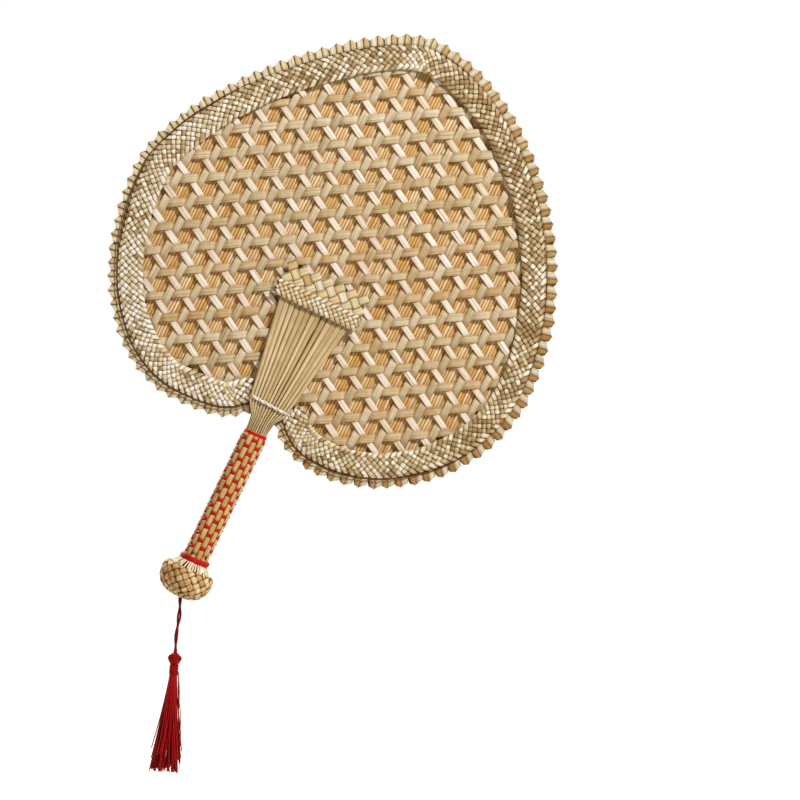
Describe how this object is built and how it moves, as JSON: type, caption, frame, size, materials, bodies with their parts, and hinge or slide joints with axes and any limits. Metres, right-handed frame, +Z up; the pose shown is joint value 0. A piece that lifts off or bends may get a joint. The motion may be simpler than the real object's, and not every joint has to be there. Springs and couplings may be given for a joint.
{
  "type": "woven straw fan",
  "caption": "Heart-shaped hand fan of open woven straw over a straw mat, with a toothed plaited rim, a straw root cover, a wrapped handle and a hanging thread tassel.",
  "frame": {"origin": "middle of the grip, on the axis of the handle, where the hand holds the fan", "axes": "+Z up, with the tassel hanging along -Z and the handle leaning 20.6 degrees from it towards +X; +Y out of the back of the blade, so the front with the open weave faces -Y; +X to the right seen from the front"},
  "size_m": [0.2621, 0.032, 0.4407],
  "materials": {
    "mat_straw": "fine straws side by side, warm ochre, satin",
    "strip_straw": "flat straw strips, cream to tan, glossy skin with fine length lines",
    "plait_straw": "plaited split straw, cream, ochre and a little green, satin",
    "cover_straw": "whole flattened straws, khaki tan, satin",
    "handle_straw": "flattened straws, golden tan, satin",
    "core_wood": "plain stick and stuffing, unfinished",
    "red_thread": "twisted red thread, matt",
    "white_thread": "twisted white cotton thread, matt",
    "cord_thread": "two-strand twisted cord, dark red",
    "tassel_thread": "bright red silky threads"
  },
  "bodies": {
    "fan": {"backing_mat": "mat_straw", "lattice": "strip_straw", "toothed_trim": "plait_straw", "border_plait_front": "plait_straw", "border_plait_back": "plait_straw", "cover_band_front": "plait_straw", "cover_band_back": "plait_straw", "pommel_plait": "plait_straw", "cover_straw_front_01": "cover_straw", "cover_straw_front_02": "cover_straw", "cover_straw_front_03": "cover_straw", "cover_straw_front_04": "cover_straw", "cover_straw_front_05": "cover_straw", "cover_straw_front_06": "cover_straw", "cover_straw_front_07": "cover_straw", "cover_straw_front_08": "cover_straw", "cover_straw_front_09": "cover_straw", "cover_straw_front_10": "cover_straw", "cover_straw_front_11": "cover_straw", "cover_straw_front_12": "cover_straw", "cover_straw_front_13": "cover_straw", "neck_thread_front": "white_thread", "cover_straw_back_01": "cover_straw", "cover_straw_back_02": "cover_straw", "cover_straw_back_03": "cover_straw", "cover_straw_back_04": "cover_straw", "cover_straw_back_05": "cover_straw", "cover_straw_back_06": "cover_straw", "cover_straw_back_07": "cover_straw", "cover_straw_back_08": "cover_straw", "cover_straw_back_09": "cover_straw", "cover_straw_back_10": "cover_straw", "cover_straw_back_11": "cover_straw", "cover_straw_back_12": "cover_straw", "cover_straw_back_13": "cover_straw", "neck_thread_back": "white_thread", "handle_stave_01": "handle_straw", "handle_stave_02": "handle_straw", "handle_stave_03": "handle_straw", "handle_stave_04": "handle_straw", "handle_stave_05": "handle_straw", "handle_stave_06": "handle_straw", "handle_stave_07": "handle_straw", "handle_stave_08": "handle_straw", "handle_stave_09": "handle_straw", "handle_stave_10": "handle_straw", "handle_stave_11": "handle_straw", "handle_stave_12": "handle_straw", "handle_stave_13": "handle_straw", "pommel_collar": "handle_straw", "handle_core": "core_wood", "pommel_filling": "core_wood", "red_weft": "red_thread", "red_ring": "red_thread"},
    "cord": {"hang_cord": "cord_thread"},
    "tassel": {"tassel_knot": "tassel_thread", "tassel_binding": "tassel_thread", "tassel_skirt": "tassel_thread"}
  },
  "joints": [
    {"name": "cord_swing", "type": "hinge", "parent": "fan", "child": "cord", "pos_m": [-0.02054, 0, -0.06145], "axis": [0, 1, 0], "range_deg": [-60, 90]},
    {"name": "tassel_swing", "type": "hinge", "parent": "cord", "child": "tassel", "pos_m": [-0.02054, 0, -0.09165], "axis": [1, 0, 0], "range_deg": [-70, 70]}
  ]
}
